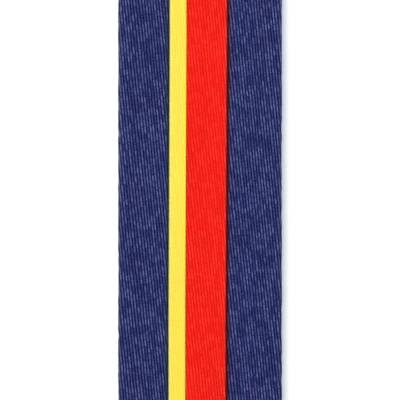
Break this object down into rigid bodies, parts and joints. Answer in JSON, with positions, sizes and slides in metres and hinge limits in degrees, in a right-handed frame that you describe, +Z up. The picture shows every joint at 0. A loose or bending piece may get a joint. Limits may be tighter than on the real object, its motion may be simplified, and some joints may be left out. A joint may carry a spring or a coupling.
{
  "type": "medal on a ribbon",
  "caption": "Pin-back brooch bar with a long striped ribbon folded over two rods, a straight bar suspender, and a round swivelling disc with a star inside a laurel wreath.",
  "frame": {"origin": "middle of the closed brooch pin's stem, on its axis", "axes": "+X along the pin towards its point, +Z up along the hanging ribbon, and the front faces -Y"},
  "size_m": [0.0414, 0.0099, 0.1467],
  "materials": {
    "gilt": "polished gilt with darker recesses",
    "dull_gilt": "satin gilt",
    "steel": "bright drawn wire",
    "ribbon_cloth": "navy, yellow and red stripes in a ribbed twill weave with a soft sheen",
    "thread": "navy sewing thread",
    "enamel": "glossy navy enamel"
  },
  "bodies": {
    "brooch": {"front_bar": "gilt", "back_plate": "dull_gilt", "bar_rivets": "dull_gilt", "rod_brackets": "gilt", "ribbon_rod": "dull_gilt", "rod_finials": "gilt", "pin_joint": "dull_gilt", "joint_rivet": "steel", "catch_housing": "dull_gilt"},
    "pin": {"pin_stem": "steel"},
    "catch": {"catch_roller": "gilt"},
    "ribbon": {"ribbon": "ribbon_cloth", "top_stitching": "thread", "bottom_stitching": "thread"},
    "suspender": {"suspender_frame": "gilt", "suspender_rod": "dull_gilt", "suspender_finials": "gilt"},
    "medal": {"swivel_stud": "steel", "swivel_washer": "dull_gilt", "claw": "gilt", "claw_pin": "steel", "medal_disc": "gilt", "enamel_field": "enamel", "star": "gilt", "star_rivet": "dull_gilt", "wreath": "dull_gilt", "reverse_plate": "gilt"}
  },
  "joints": [
    {"name": "ribbon_swing", "type": "hinge", "parent": "brooch", "child": "ribbon", "pos_m": [0, -0.0044, -0.00615], "axis": [-1, 0, 0], "range_deg": [0, 75]},
    {"name": "medal_swing", "type": "hinge", "parent": "ribbon", "child": "suspender", "pos_m": [0, -0.0044, -0.09815], "axis": [-1, 0, 0], "range_deg": [-75, 75]},
    {"name": "medal_swivel", "type": "hinge", "parent": "suspender", "child": "medal", "pos_m": [0, -0.0044, -0.09815], "axis": [0, 0, 1], "continuous": true},
    {"name": "pin_open", "type": "hinge", "parent": "brooch", "child": "pin", "pos_m": [-0.01398, 0, 0], "axis": [0, 0, 1], "range_deg": [0, 75]},
    {"name": "catch_turn", "type": "hinge", "parent": "brooch", "child": "catch", "pos_m": [0.01268, 0, 0], "axis": [-1, 0, 0], "range_deg": [0, 76.8]}
  ]
}
